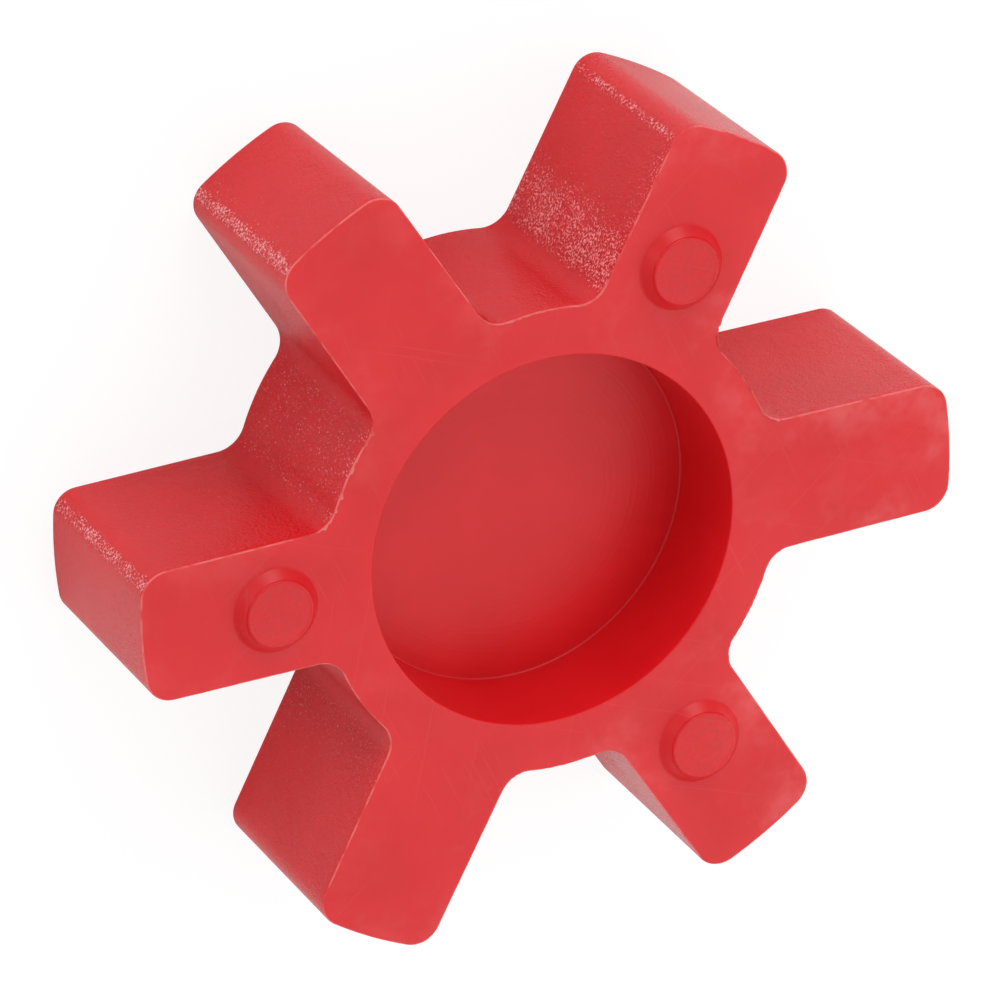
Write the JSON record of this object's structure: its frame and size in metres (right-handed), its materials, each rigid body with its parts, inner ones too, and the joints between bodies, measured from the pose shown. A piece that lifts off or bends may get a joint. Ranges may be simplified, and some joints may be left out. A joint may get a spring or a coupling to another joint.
{
  "type": "jaw coupling spider",
  "caption": "Star-shaped elastomer insert that sits between the jaws of a jaw coupling, with a round blind pocket in its hub and low round spacers on its legs.",
  "frame": {"origin": "centre of the flat back face, on the axis", "axes": "+Z along the axis, from the flat back to the open pocket; +X along a leg that has no spacer"},
  "size_m": [0.0444, 0.0408, 0.0121],
  "materials": {
    "urethane": "satin"
  },
  "bodies": {
    "root": {"spider": "urethane"}
  },
  "joints": []
}
